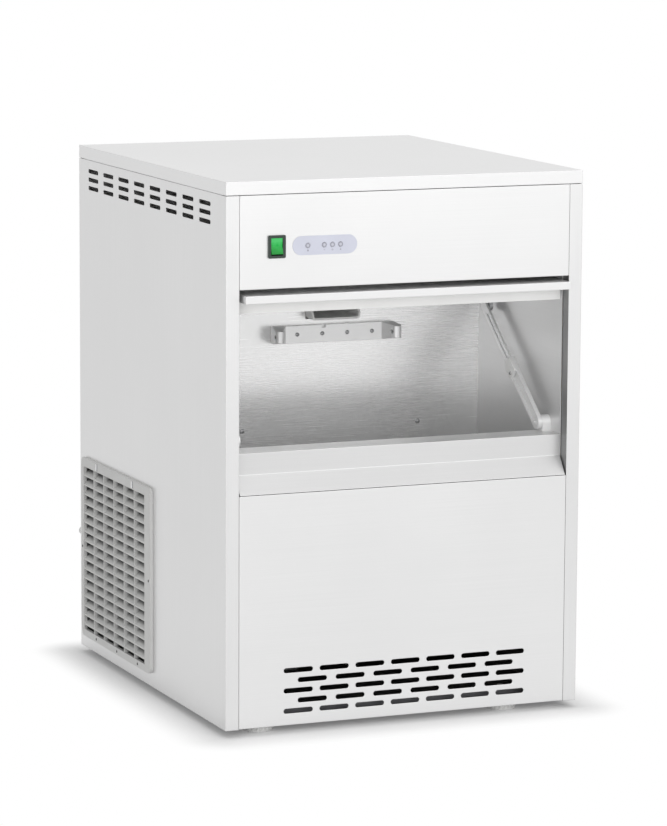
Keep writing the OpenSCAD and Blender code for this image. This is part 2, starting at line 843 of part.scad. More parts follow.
// Places a stay's pieces, drawn along +Y from the foot pivot, on both sides
module at_stays() both_sides()
    translate([0, stay_foot_y, stay_foot_z]) rotate([stay_angle, 0, 0]) children();

module stay_rails() color("lightgray") at_stays() difference() {
    along_x(stay_x0, stay_x1) {
        circle(d = stay_w);
        translate([0, -stay_w / 2]) square([stay_rail_l, stay_w]);
    }
    along_x(stay_x0 - cut, stay_x0 + slide_t + 2 * fit)
        translate([8, -slide_w / 2 - fit]) square([stay_rail_l, slide_w + 2 * fit]);
    rod_x(stay_x0 - cut, stay_x1 + cut, 0, 0, stay_pin_r + run);
}

// Plastic end blocks that keep the slides in their rails
module stay_blocks() color("white") at_stays()
    along_x(block_x0, stay_x0) translate([stay_rail_l - block_l / 2, 0]) plate(block_l, stay_w, 3);

module stay_slides() color("silver") at_stays() {
    tail = 24;
    head_r = 8;
    groove_w = 3;
    difference() {
        along_x(stay_x0 + fit, stay_x0 + slide_t) {
            translate([stay_rail_l - tail, -slide_w / 2]) square([stay_l - stay_rail_l + tail, slide_w]);
            translate([stay_l, 0]) circle(r = head_r);
        }
        along_x(stay_x0 - cut, stay_x0 + slide_t + cut)
            translate([stay_rail_l + 6, 0]) stadium(stay_l - stay_rail_l - 22, groove_w);
    }
    rod_x(stay_x0 + slide_t, plate_x0 - 0.5, stay_l, 0, stay_pin_r);
}

module stay_pivots() color("silver") both_sides() {
    rod_x(stay_x0 + slide_t + fit, stay_x1 + fit, stay_foot_y, stay_foot_z, stay_pin_r);
    along_x(stay_x1 + fit, xb) {
        translate([stay_foot_y, stay_foot_z]) circle(d = stay_w);
        translate([stay_foot_y - stay_w / 2, sill_z]) square([stay_w, stay_foot_z - sill_z]);
    }
}

// Moulded grille: frame with round corners, dividing ribs and sloped louvre blades
module side_grille() color("silver") {
    pitch = (cell_z1 - cell_z0) / (grille_rows + 0.5);
    rise = pitch * 0.55;
    blade_t = 2;
    blade_x0 = -xo - grille_out + 0.8;
    blade_x1 = -xo + 5;
    difference() {
        along_x(-xo - grille_out, -xo) translate([grille_y0 + grille_w / 2, cool_z])
            plate(grille_w, grille_h, grille_r);
        box([-xo - grille_out - cut, cell_y0, cell_z0], [-xo + cut, cell_y1, cell_z1]);
    }
    for (r = [0 : grille_rows - 1]) {
        z = cell_z0 + (r + 0.45) * pitch;
        along_y(cell_y0, cell_y1) polygon([
            [blade_x0, z], [blade_x1, z + rise], [blade_x1, z + rise + blade_t], [blade_x0, z + blade_t]
        ]);
    }
    for (c = [1 : grille_cols - 1])
        translate([0, cell_y0 + c * (cell_y1 - cell_y0) / grille_cols - rib_t / 2, 0])
            box([-xo - grille_out + 0.4, 0, cell_z0], [-xo + 3, rib_t, cell_z1]);
    for (y = [yf + 361, yf + 515])
        box([-xo - grille_out - 0.8, y - 2, cell_z1 + 2], [-xo - grille_out, y + 2, grille_z1 - 2]);
}

// Condenser: fins threaded on a stack of tubes, with end plates down to the pan
module condenser() color("darkgoldenrod") {
    fins = floor((cool_y1 - cool_y0 - 2 * fin_t) / fin_pitch);
    for (i = [1 : fins - 1])
        box([fin_x0, cool_y0 + i * fin_pitch, cool_z - fin_h / 2],
            [fin_x0 + fin_d, cool_y0 + i * fin_pitch + fin_t, cool_z + fin_h / 2]);
    for (y = [cool_y0, cool_y1 - fin_t])
        box([fin_x0, y, floor_z], [fin_x0 + fin_d, y + fin_t, cool_z + fin_h / 2]);
    for (r = [0 : coil_rows - 1])
        rod_y(cool_y0 - coil_front, coil_end, fin_x0 + fin_d / 2, coil_z(r), coil_r);
}

function coil_z(r) = cool_z + (r - (coil_rows - 1) / 2) * fin_h / coil_rows;

// Fan shroud: plate on the condenser, ring round the blades and a spider for the motor
module fan_shroud() color("gray") {
    ring_r = fan_r + fan_gap;
    x1 = shroud_x0 + shroud_l;
    difference() {
        union() {
            box([shroud_x0, cool_y0, cool_z - fin_h / 2],
                [shroud_x0 + shroud_wall, cool_y1, cool_z + fin_h / 2]);
            rod_x(shroud_x0, x1, cool_y, cool_z, ring_r + shroud_wall);
        }
        rod_x(shroud_x0 - cut, x1 + cut, cool_y, cool_z, ring_r);
    }
    difference() {
        union() {
            rod_x(x1 - spoke_t, x1, cool_y, cool_z, motor_r);
            translate([0, cool_y, cool_z]) for (a = [45, 135]) rotate([a, 0, 0])
                box([x1 - spoke_t, -ring_r - shroud_wall / 2, -spoke_w / 2],
                    [x1, ring_r + shroud_wall / 2, spoke_w / 2]);
        }
        rod_x(x1 - spoke_t - cut, x1 + cut, cool_y, cool_z, shaft_r + 4);
    }
}

module fan_motor() color("dimgray") {
    x1 = shroud_x0 + shroud_l;
    rod_x(x1, x1 + motor_l, cool_y, cool_z, motor_r);
    rod_x(fan_x - hub_l / 2, x1, cool_y, cool_z, shaft_r);
}

// Fan: hub with pitched blades, trimmed to a round tip
module fan_blade() color("black") {
    chord = 62;
    blade_t = 2;
    blade_pitch = 24;
    difference() {
        union() {
            rod_x(fan_x - hub_l / 2, fan_x + hub_l / 2, cool_y, cool_z, hub_r);
            intersection() {
                translate([fan_x, cool_y, cool_z]) for (i = [0 : fan_blades - 1])
                    rotate([i * 360 / fan_blades, 0, 0]) rotate([0, 0, blade_pitch])
                        translate([-blade_t / 2, -chord / 2, hub_r - 8]) cube([blade_t, chord, fan_r]);
                rod_x(fan_x - chord, fan_x + chord, cool_y, cool_z, fan_r);
            }
        }
        rod_x(fan_x - chord, fan_x + chord, cool_y, cool_z, shaft_r + run);
    }
}

// Compressor: domed shell on a foot plate, terminal box and two pipe stubs
module compressor() color("black") {
    cap_r = shell_r * 1.25;
    cap_drop = sqrt(cap_r * cap_r - shell_r * shell_r);
    cap_h = cap_r - cap_drop;
    z0 = floor_z + shell_base;
    wall_z0 = z0 + plate_h;
    wall_z1 = z0 + shell_h - cap_h;
    translate([shell_x, shell_y, z0]) difference() {
        linear_extrude(plate_h) plate(2 * plate_half, 2 * plate_half, plate_r);
        for (sx = [-1, 1], sy = [-1, 1])
            translate([sx * mount_at, sy * mount_at, -cut])
                cylinder(r = mount_hole_r, h = plate_h + 2 * cut);
    }
    translate([shell_x, shell_y, wall_z0]) cylinder(r = shell_r, h = wall_z1 - wall_z0);
    translate([shell_x, shell_y, wall_z1 - cap_drop]) intersection() {
        sphere(r = cap_r, $fn = 64);
        translate([0, 0, cap_drop]) cylinder(r = shell_r, h = cap_h + cut);
    }
    box([shell_x + shell_r - terminal_in, shell_y - terminal_half, z0 + terminal_z0],
        [shell_x + shell_r + terminal_out, shell_y + terminal_half, z0 + terminal_z0 + terminal_h]);
    for (i = [0, 1]) rod_x(stub_x, shell_x, stub_y[i], stub_z[i], stub_r);
}

module compressor_mounts() color("black")
    for (sx = [-1, 1], sy = [-1, 1])
        translate([shell_x + sx * mount_at, shell_y + sy * mount_at, floor_z]) {
            cylinder(r = mount_r, h = shell_base);
            cylinder(r = mount_bolt_r, h = shell_base + plate_h + mount_bolt_top);
        }

module dryer() color("peru") {
    translate([dryer_x, pipe_y, dryer_z[0]]) cylinder(r = dryer_r, h = dryer_z[1] - dryer_z[0]);
}

// Hot gas, liquid and suction lines
module refrigerant_pipes() color("peru") {
    top = coil_z(coil_rows - 1);
    low = coil_z(0);
    pipe([[stub_x, stub_y[0], stub_z[0]], [hot_x, stub_y[0], stub_z[0]], [hot_x, pipe_y, stub_z[0]],
        [hot_x, pipe_y, top], [coil_x, pipe_y, top], [coil_x, coil_end, top]], hot_r, pipe_bend);
    pipe([[coil_x, coil_end, low], [coil_x, pipe_y, low], [dryer_x, pipe_y, low],
        [dryer_x, pipe_y, dryer_z[0]]], hot_r, pipe_bend);
    pipe([[dryer_x, pipe_y, dryer_z[1]], [dryer_x, pipe_y, port_z[0]],
        [ice_x - port_x, pipe_y, port_z[0]], [ice_x - port_x, port_y, port_z[0]]], liquid_r, pipe_bend);
    pipe([[ice_x + port_x, port_y, port_z[1]], [ice_x + port_x, pipe_y - suction_in, port_z[1]],
        [ice_x + port_x, pipe_y - suction_in, stub_z[1]], [ice_x + port_x, stub_y[1], stub_z[1]],
        [stub_x, stub_y[1], stub_z[1]]], suction_r, pipe_bend);
}

module evaporator_jacket() color("black") {
    difference() {
        translate([ice_x, ice_y, barrel_z0]) cylinder(r = jacket_r, h = barrel_l);
        translate([ice_x, ice_y, barrel_z0 - cut])
            cylinder(r = barrel_r + barrel_wall, h = barrel_l + 2 * cut);
    }
    for (i = [0, 1])
        rod_y(ice_y + jacket_r - port_in, port_y, ice_x + (2 * i - 1) * port_x, port_z[i], port_r);
}

module evaporator_barrel() color("silver") difference() {
    translate([ice_x, ice_y, barrel_z0]) cylinder(r = barrel_r + barrel_wall, h = barrel_l);
    translate([ice_x, ice_y, barrel_z0 - cut]) cylinder(r = barrel_r, h = barrel_l + 2 * cut);
}

// Auger: shaft with one helical flight that lifts ice up the barrel
module auger() color("silver") translate([ice_x, ice_y, 0]) {
    flight_w = barrel_r - auger_gap - auger_shaft_r + flight_root - flight_gap;
    turn = -360 * auger_turns;
    translate([0, 0, gear_z1]) cylinder(r = auger_shaft_r, h = barrel_z1 + head_h + flight_end - gear_z1);
    translate([0, 0, barrel_z0 + flight_end])
        linear_extrude(barrel_l - 2 * flight_end, twist = turn, slices = 24 * auger_turns, segments = 4)
            translate([auger_shaft_r - flight_root, -flight_t / 2]) square([flight_w, flight_t]);
}

module auger_bearing() color("gray") translate([ice_x, ice_y, gear_z1]) difference() {
    cylinder(r = barrel_r + barrel_wall + bearing_wall, h = bearing_h);
    translate([0, 0, -cut]) cylinder(r = auger_shaft_r + run, h = bearing_h + 2 * cut);
}

// Gear motor: motor can below, gear case above
module gear_motor() color("slategray") translate([ice_x, ice_y, 0]) {
    translate([0, 0, gear_z0]) cylinder(r = gear_r, h = gear_h);
    translate([0, 0, stand_z]) cylinder(r = drive_r, h = gear_z0 - stand_z);
    for (i = [0 : gear_bolts - 1]) rotate(i * 360 / gear_bolts)
        translate([gear_r - 2 * gear_bolt_r, 0, gear_z0 - gear_bolt_r])
            cylinder(r = gear_bolt_r, h = gear_h);
}

// Stand of folded plate under the gear motor
module motor_stand() color("silver") translate([ice_x, ice_y, 0]) {
    half = stand_half;
    box([-half, -half, stand_z - stand_t], [half, half, stand_z]);
    both_sides() {
        box([half - stand_t, -half, floor_z], [half, half, stand_z]);
        box([half - stand_foot, -half, floor_z], [half, half, floor_z + stand_t]);
    }
}

// Water tank with the float's guide stem and stop collar
module water_tank() color("white") {
    difference() {
        box([tank_x0, tank_y0, tank_z0], [tank_x0 + tank_w, tank_y0 + tank_d, tank_z0 + tank_h]);
        box([tank_x0 + tank_wall, tank_y0 + tank_wall, tank_z0 + tank_wall],
            [tank_x0 + tank_w - tank_wall, tank_y0 + tank_d - tank_wall, tank_z0 + tank_h + cut]);
    }
    translate([tank_c[0], tank_c[1], tank_z0]) {
        cylinder(r = stem_r, h = tank_h - stem_top);
        cylinder(r = 2 * stem_r, h = float_z0 - tank_z0);
    }
}

module float() color("orange") translate([tank_c[0], tank_c[1], float_z0]) difference() {
    cylinder(r = float_r, h = float_h);
    translate([0, 0, -cut]) cylinder(r = stem_r + run, h = float_h + 2 * cut);
}

// Inlet valve: threaded nipple through the back panel, body and coil inside
module water_valve() color("white") difference() {
    union() {
        rod_y(yb - sheet, yb + collar, inlet_x, inlet_z, inlet_r - neck_in);
        rod_y(yb + collar, yb + inlet_l, inlet_x, inlet_z, inlet_r);
        rod_y(nut_y, yb - sheet, inlet_x, inlet_z, inlet_r + nut_out);
        rod_y(nut_y - valve_l, nut_y, inlet_x, inlet_z, inlet_r + valve_out);
        translate([inlet_x, yb - sheet - valve_coil_in, inlet_z])
            cylinder(r = valve_coil_r, h = valve_coil_h);
    }
    rod_y(yb - sheet - inlet_bore_l, yb + inlet_l + cut, inlet_x, inlet_z, inlet_r - inlet_wall);
}

// Drain spigot through the back panel, held by its inner flange
module drain_fitting() color("gray") difference() {
    union() {
        rod_y(yb - sheet, yb + collar, inlet_x, drain_z, drain_r - neck_in);
        rod_y(yb + collar, yb + drain_l, inlet_x, drain_z, drain_r);
        rod_y(nut_y, yb - sheet, inlet_x, drain_z, drain_r + nut_out);
    }
    rod_y(nut_y + drain_wall, yb + drain_l + cut, inlet_x, drain_z, drain_r - drain_wall);
}

// Hose from the bin floor's drain to the spigot
module drain_hose() color("darkgray")
    pipe([[0, outlet_y, bin_z0 - sheet - foam_t], [0, outlet_y, drain_z], [hose_x, outlet_y, drain_z],
        [hose_x, hose_y, drain_z], [inlet_x, hose_y, drain_z], [inlet_x, nut_y, drain_z]],
        hose_r, hose_bend);

module cable_gland() color("black") difference() {
    union() {
        rod_y(yb - sheet - gland_in, yb + gland_out, inlet_x, gland_z, gland_r);
        translate([inlet_x, yb, gland_z]) rotate([-90, 0, 0])
            cylinder(r = gland_r + gland_nut_out, h = gland_nut_t, $fn = 6);
    }
    rod_y(yb - sheet - gland_in - cut, yb + gland_out + cut, inlet_x, gland_z, gland_r - gland_wall);
}

module rear_bumpers() color("black") for (s = [-1, 1]) {
    rod_y(yb, yb + bumper_l, s * (xo - bumper_in), bumper_z, bumper_r);
    rod_y(yb - sheet, yb, s * (xo - bumper_in), bumper_z, bumper_r / 2);
}

// Levelling foot: fluted disc with its stud up through the pan
module foot(at) color("white") translate([at[0], at[1], 0]) {
    difference() {
        cylinder(r = foot_r, h = foot_h);
        for (i = [0 : flutes - 1]) rotate(i * 360 / flutes)
            translate([foot_r + flute_out, 0, foot_base]) cylinder(r = flute_r, h = foot_h);
    }
    cylinder(r = stud_r, h = foot_h + stud_l);
}

module foot_front_left() foot(foot_at[0]);

module foot_front_right() foot(foot_at[1]);

module foot_rear_left() foot(foot_at[2]);

module foot_rear_right() foot(foot_at[3]);

base_pan();
left_side_panel();
right_side_panel();
back_panel();
top_cover();
fascia_panel();
lower_front_panel();
bin_sill();
bin_back_wall();
bin_left_wall();
bin_right_wall();
bin_floor();
bin_front_wall();
bin_ceiling();
bin_insulation();
ice_spout();
sensor_bracket();
sensor_eyes();
bracket_screws();
bin_screws();
switch_bezel();
switch_rocker();
indicator_overlay();
led_lenses();
control_board();
door_pan();
door_core();
door_carriage();
door_tracks();
stay_rails();
stay_blocks();
stay_slides();
stay_pivots();
side_grille();
condenser();
fan_shroud();
fan_motor();
fan_blade();
compressor();
compressor_mounts();
dryer();
refrigerant_pipes();
evaporator_jacket();
evaporator_barrel();
auger();
auger_bearing();
gear_motor();
motor_stand();
water_tank();
float();
water_valve();
drain_fitting();
drain_hose();
cable_gland();
rear_bumpers();
foot_front_left();
foot_front_right();
foot_rear_left();
foot_rear_right();
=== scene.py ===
"""Looks for a flake ice machine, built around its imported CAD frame."""

import math

import bmesh
import bpy
from mathutils import Matrix, Vector


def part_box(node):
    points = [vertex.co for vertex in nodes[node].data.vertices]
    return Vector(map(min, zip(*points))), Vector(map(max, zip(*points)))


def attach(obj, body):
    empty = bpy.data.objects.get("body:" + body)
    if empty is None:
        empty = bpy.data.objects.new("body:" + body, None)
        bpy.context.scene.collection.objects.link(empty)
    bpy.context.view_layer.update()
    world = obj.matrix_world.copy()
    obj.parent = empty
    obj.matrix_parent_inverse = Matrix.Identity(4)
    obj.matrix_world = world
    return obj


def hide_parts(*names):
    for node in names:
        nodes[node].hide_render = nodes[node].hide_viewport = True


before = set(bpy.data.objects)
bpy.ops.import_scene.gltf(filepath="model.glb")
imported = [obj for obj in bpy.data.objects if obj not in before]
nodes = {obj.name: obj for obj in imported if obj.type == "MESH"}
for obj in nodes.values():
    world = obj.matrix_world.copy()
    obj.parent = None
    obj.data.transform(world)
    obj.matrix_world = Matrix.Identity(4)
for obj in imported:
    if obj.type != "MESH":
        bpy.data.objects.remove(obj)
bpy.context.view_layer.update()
scene = bpy.context.scene

# Named values, in metres, degrees and watts

# Grain of brushed sheet: its lines run along the axis with the small number
ACROSS = (4.0, 900.0, 900.0)
FINE = (9.0, 2600.0, 2600.0)
UPRIGHT = (900.0, 900.0, 4.0)
ALONG = (900.0, 4.0, 900.0)
# Drawn and turned parts have grain alike on all axes
DRAWN = (300.0, 300.0, 300.0)
TURNED = (500.0, 500.0, 500.0)

# Painted shade on the inner returns of the side panels, for the dark gap beside the bin's opening, and how
# far a side has to face along X to get it
RETURN_SHADE_TONE = 0.35
RETURN_SHADE_START, RETURN_SHADE_END = 0.5, 0.9

# The grille's clips stand proud of its frame, each with a strip of painted shadow at its front
CLIP_RISE = 0.0008
CLIP_SHADOW_WIDTH = 0.003
SHADOW_RISE, SHADOW_SINK = 0.0001, 0.0002
# Painted shade: the grille's blades get darker between these depths behind the clips, for the shade deep in
# its cells
DEEP_SHADE_START, DEEP_SHADE_END = 0.0045, 0.009
DEEP_SHADE_TONE = 0.25

# Screws: radii of heads, and the turn of the first cross and from each to the next
STAY_SCREW = 0.0026
GRILLE_SCREW = 0.0023
BACK_SCREW = 0.0032
CROSS_TURN, CROSS_STEP = 0.35, 1.1
# The stay's screw sits down the lean of its block and below the block's middle line
STAY_LEAN = 38.62
STAY_DOWN, STAY_BELOW = 0.0075, 0.003
# Screws on the grille: three along its bottom rail, and one on each side rail
GRILLE_SINK = 0.0017
GRILLE_FOOT_Z, GRILLE_FOOT_Y = 0.0337, (0.2177, 0.1271, 0.0386)
GRILLE_SIDE_Z, GRILLE_SIDE_Y = 0.163, (0.277, -0.008)
# Screws on the back panel: two upright rows
BACK_X, BACK_Z = 0.247, (0.05, 0.29, 0.5, 0.72)

# Print on the indicator strip
LENS_STEPS = (0.0, 0.0238, 0.0356, 0.0474)
PRINT_THICK, PRINT_SINK = 0.0001, 0.00002
RING_INNER, RING_MARGIN = 0.0019, 0.0002
MARK_DROP = 0.0068
SPOT_INNER, SPOT_OUTER = 0.0003, 0.0013
CIRCLE_INNER, CIRCLE_OUTER = 0.0007, 0.0012
DASH_HALF, DASH_HALF_TALL = 0.0012, 0.0003
SQUARE_HALF = 0.0008

# Thread of the water inlet
THREAD_INSET = 0.001
THREAD_PITCH = 0.0018
THREAD_TURNS, THREAD_STEPS = 6, 40
THREAD_ROOT, THREAD_CREST, THREAD_HALF = -0.0002, 0.0005, 0.0007

# Camera
LENS_MM, SENSOR_MM = 172.04, 36.0
EYE = (-2.1302, -5.1653, 1.2604)
YAW, PITCH, ROLL = 22.581, 8.877, 0.314
FAR = 60.0

# Floor: it fades to white past a footprint that the shadow lies around; near the footprint it is darker,
# painted shade round the object beside the lamps' real shadow
FLOOR_HALF, FLOOR_DROP = 12.0, 0.0003
FLOOR_TONE = 0.93
FOOTPRINT = (0.26, 0.3, 0)
FADE_REACH, FADE_LEAST = 0.08, 0.12

# Light from the world on the object
WORLD_FILL = 0.5


# Materials

class Look:
    """A procedural material around one Principled shader."""

    def __init__(self, name, rough=0.5, metal=0.0):
        self.mat = bpy.data.materials.new(name)
        self.mat.use_nodes = True
        self.tree = self.mat.node_tree
        self.shader = self.tree.nodes["Principled BSDF"]
        self.shader.inputs["Roughness"].default_value = rough
        self.shader.inputs["Metallic"].default_value = metal
        coordinates = self.tree.nodes.new("ShaderNodeTexCoord")
        self.where = coordinates.outputs["Object"]
        self.normal = coordinates.outputs["Normal"]

    def put(self, kind, links=(), **values):
        """A new node. Values are its settings, or else the values of its inputs."""
        made = self.tree.nodes.new(kind)
        for key, value in values.items():
            if hasattr(made, key):
                setattr(made, key, value)
            else:
                made.inputs[key.replace("_", " ")].default_value = value
        for key, source in links:
            self.tree.links.new(source, made.inputs[key])
        return made

    def to(self, source, key):
        self.tree.links.new(source, self.shader.inputs[key])

    def stretched(self, scale):
        return self.put("ShaderNodeMapping", [("Vector", self.where)], Scale=scale).outputs["Vector"]

    def part(self, vector, axis):
        return self.put("ShaderNodeSeparateXYZ", [("Vector", vector)]).outputs[axis]

    def noise(self, scale, detail=3.0, stretch=None, rough=0.5):
        source = self.stretched(stretch) if stretch else self.where
        made = self.put("ShaderNodeTexNoise", [("Vector", source)],
                        Scale=scale, Detail=detail, Roughness=rough)
        return made.outputs["Fac"]

    def ramp(self, fac, *stops):
        made = self.put("ShaderNodeValToRGB", [("Fac", fac)])
        points = made.color_ramp.elements
        while len(points) < len(stops):
            points.new(0.5)
        for point, (at, colour) in zip(points, stops):
            point.position = at
            point.color = (*colour, 1)
        return made.outputs["Color"]

    def clouded(self, fac, colour, vary, start=0.3, end=0.7):
        """The colour, a little darker and lighter as fac goes from start to end."""
        return self.ramp(fac, (start, shade(colour, 1 - vary)), (end, shade(colour, 1 + vary)))

    def between(self, value, start, end, low, high):
        """Carries the stretch from start to end over to the one from low to high."""
        made = self.put("ShaderNodeMapRange", [("Value", value)])
        for key, bound in (("From Min", start), ("From Max", end), ("To Min", low), ("To Max", high)):
            made.inputs[key].default_value = bound
        return made.outputs["Result"]

    def spread(self, fac, low, high):
        return self.between(fac, 0.0, 1.0, low, high)

    def times_plus(self, first, second, third):
        """first * second + third, each of them a socket or a number."""
        made = self.put("ShaderNodeMath", operation="MULTIPLY_ADD")
        for term, entry in zip((first, second, third), made.inputs):
            if isinstance(term, float):
                entry.default_value = term
            else:
                self.tree.links.new(term, entry)
        return made.outputs[0]

    def scaled(self, tone, by):
        made = self.put("ShaderNodeVectorMath", [("Vector", tone), ("Scale", by)], operation="SCALE")
        return made.outputs["Vector"]

    def relief(self, height, distance, strength=1.0, edge=0.0):
        """Bump from a height, with edges softened over a radius."""
        links = [("Height", height)]
        if edge:
            bevel = self.put("ShaderNodeBevel", Radius=edge)
            bevel.samples = 6
            links.append(("Normal", bevel.outputs["Normal"]))
        made = self.put("ShaderNodeBump", links, Strength=strength, Distance=distance)
        self.to(made.outputs["Normal"], "Normal")


def grey(tone):
    return (tone, tone, tone)


def shade(colour, by):
    return tuple(min(1.0, c * by) for c in colour)


def lifted(colour, by):
    return tuple(c + by for c in colour)


def steel(name, colour, grain, rough=(0.3, 0.42), metal=0.7, edge=0.0012, vary=0.03, brush=0.35,
          shade_facing=0):
    """Brushed stainless sheet: fine lines along the axis where grain is small, and soft clouds.

    Where shade_facing is 1 or -1, the sides that look that way along X, a sheet's inner returns, get painted
    shade.
    """
    look = Look(name, metal=metal)
    lines = look.noise(1.0, detail=2.0, stretch=grain, rough=0.6)
    clouds = look.noise(5.0)
    both = look.times_plus(lines, clouds, 0.25)
    tone = look.clouded(both, colour, vary)
    # Painted shade: the inner returns are darkened, standing for the shadow in the gap beside them.
    if shade_facing:
        facing = look.part(look.normal, "X")
        dull_and_shade = look.between(facing, RETURN_SHADE_START * shade_facing, RETURN_SHADE_END * shade_facing, 1.0, RETURN_SHADE_TONE)
        tone = look.scaled(tone, dull_and_shade)
    look.to(tone, "Base Color")
    look.to(look.spread(both, *rough), "Roughness")
    look.relief(lines, distance=0.00004, strength=brush, edge=edge)
    look.shader.inputs["Anisotropic"].default_value = 0.3
    return look.mat


def plastic(name, colour, rough=(0.38, 0.52)):
    """Moulded plastic: fine spark-eroded grain and faint flow clouds."""
    look = Look(name)
    grain = look.noise(900.0)
    flow = look.noise(14.0, detail=4.0)
    look.to(look.clouded(flow, colour, 0.03), "Base Color")
    look.to(look.spread(grain, *rough), "Roughness")
    look.relief(grain, distance=0.00005, strength=0.4, edge=0.0006)
    return look.mat


def clipped_grille(name, colour, clip_highlight):
    """Moulded plastic, with painted shade deep down and a painted highlight that makes the clips pale; the
    clips stand out past the grille's frame.
    """
    look = Look(name)
    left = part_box("side_grille")[0].x
    grain = look.noise(900.0)
    flow = look.noise(14.0, detail=4.0)
    x = look.part(look.where, "X")
    # Painted highlight: the clips, proud of the frame, are coloured pale.
    on_clip = look.put("ShaderNodeMath", [(0, x)], operation="LESS_THAN")
    on_clip.inputs[1].default_value = left + CLIP_RISE / 2
    pick = look.times_plus(flow, 0.5, on_clip.outputs[0])
    dark, light = shade(colour, 0.97), shade(colour, 1.03)
    tone = look.ramp(pick, (0.15, dark), (0.35, light), (0.9, light), (1.0, clip_highlight))
    # Painted shade, growing deeper into the grille.
    depth = look.between(x, left + DEEP_SHADE_START, left + DEEP_SHADE_END, 1.0, DEEP_SHADE_TONE)
    look.to(look.scaled(tone, depth), "Base Color")
    look.to(look.spread(grain, 0.38, 0.52), "Roughness")
    look.relief(grain, distance=0.00008, strength=0.4, edge=0.0006)
    return look.mat


def paint(name, colour):
    """Sprayed paint: orange peel and a little dust."""
    look = Look(name)
    peel = look.noise(420.0, detail=2.0)
    dust = look.noise(18.0, detail=5.0, rough=0.65)
    look.to(look.ramp(dust, (0.35, colour), (0.8, lifted(colour, 0.05))), "Base Color")
    look.to(look.spread(dust, 0.32, 0.5), "Roughness")
    look.relief(peel, distance=0.00008, strength=0.35, edge=0.0008)
    return look.mat


def rubbery(name, colour, rough=(0.6, 0.8)):
    """Rubber or soft hose: dull, with a powdery bloom."""
    look = Look(name)
    bloom = look.noise(60.0, detail=5.0, rough=0.7)
    look.to(look.ramp(bloom, (0.3, colour), (0.85, lifted(colour, 0.04))), "Base Color")
    look.to(look.spread(bloom, *rough), "Roughness")
    look.relief(look.noise(700.0, detail=2.0), distance=0.00006, strength=0.4, edge=0.0008)
    return look.mat


def copper_tube(name):
    """Copper with brown tarnish in patches."""
    look = Look(name, metal=1.0)
    tarnish = look.noise(35.0, detail=5.0, rough=0.65)
    bright, dull_and_shade, brown = (0.72, 0.36, 0.2), (0.62, 0.27, 0.13), (0.4, 0.17, 0.09)
    look.to(look.ramp(tarnish, (0.3, bright), (0.62, dull_and_shade), (0.85, brown)), "Base Color")
    look.to(look.spread(tarnish, 0.22, 0.5), "Roughness")
    look.relief(look.noise(300.0, detail=2.0), distance=0.00005, strength=0.3)
    return look.mat


def fin_stack(name):
    """Edge-on aluminium fins, fine lines across the coil, with painted shade in the gaps between fins."""
    look = Look(name, metal=0.85)
    wave = look.put("ShaderNodeTexWave", [("Vector", look.where)],
                    bands_direction="Z", Scale=260.0, Distortion=0.4, Detail_Scale=30.0)
    fins = wave.outputs["Fac"]
    # The dark bands are painted shade between the fins.
    shaded_gap, edge = (0.16, 0.17, 0.18), (0.68, 0.69, 0.7)
    look.to(look.ramp(fins, (0.2, shaded_gap), (0.75, edge)), "Base Color")
    look.to(look.spread(look.noise(40.0), 0.35, 0.55), "Roughness")
    look.relief(fins, distance=0.0006, strength=0.6)
    return look.mat


def foam_block(name, dark, light, scale=240.0):
    """Foam with open cells."""
    look = Look(name, rough=0.85)
    cells = look.put("ShaderNodeTexVoronoi", [("Vector", look.where)], Scale=scale).outputs["Distance"]
    look.to(look.ramp(cells, (0.15, light), (0.7, dark)), "Base Color")
    look.relief(cells, distance=0.0006, strength=0.5)
    return look.mat


def circuit(name):
    """A board with a grid of tracks."""
    look = Look(name)
    tracks = look.put("ShaderNodeTexBrick", [("Vector", look.where)], Scale=90.0,
                      Color1=(0.02, 0.16, 0.07, 1), Color2=(0.03, 0.22, 0.1, 1), Mortar=(0.1, 0.34, 0.17, 1))
    look.to(tracks.outputs["Color"], "Base Color")
    look.to(look.spread(look.noise(120.0), 0.25, 0.45), "Roughness")
    return look.mat


def lit_green(name):
    """Translucent rocker lit from behind, brighter towards its top."""
    look = Look(name, rough=0.22)
    low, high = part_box("switch_rocker")
    rise = look.between(look.part(look.where, "Z"), low.z, high.z, 0.0, 1.0)
    glow = look.times_plus(look.noise(160.0), 0.5, rise)
    deep, middle, bright = (0.0, 0.2, 0.02), (0.01, 0.34, 0.05), (0.06, 0.46, 0.12)
    tone = look.ramp(glow, (0.3, deep), (0.75, middle), (1.0, bright))
    look.to(tone, "Base Color")
    look.to(tone, "Emission Color")
    look.shader.inputs["Emission Strength"].default_value = 0.25
    look.shader.inputs["Specular IOR Level"].default_value = 0.25
    return look.mat


def film(name, colour, rough):
    """Printed film or smooth lens: very fine grain."""
    look = Look(name)
    grain = look.noise(1500.0, detail=2.0)
    cloud = look.noise(30.0, detail=2.0)
    look.to(look.ramp(cloud, (0.3, shade(colour, 0.97)), (0.7, shade(colour, 1.02))), "Base Color")
    look.to(look.spread(grain, *rough), "Roughness")
    look.relief(grain, distance=0.00002, strength=0.3, edge=0.0003)
    return look.mat


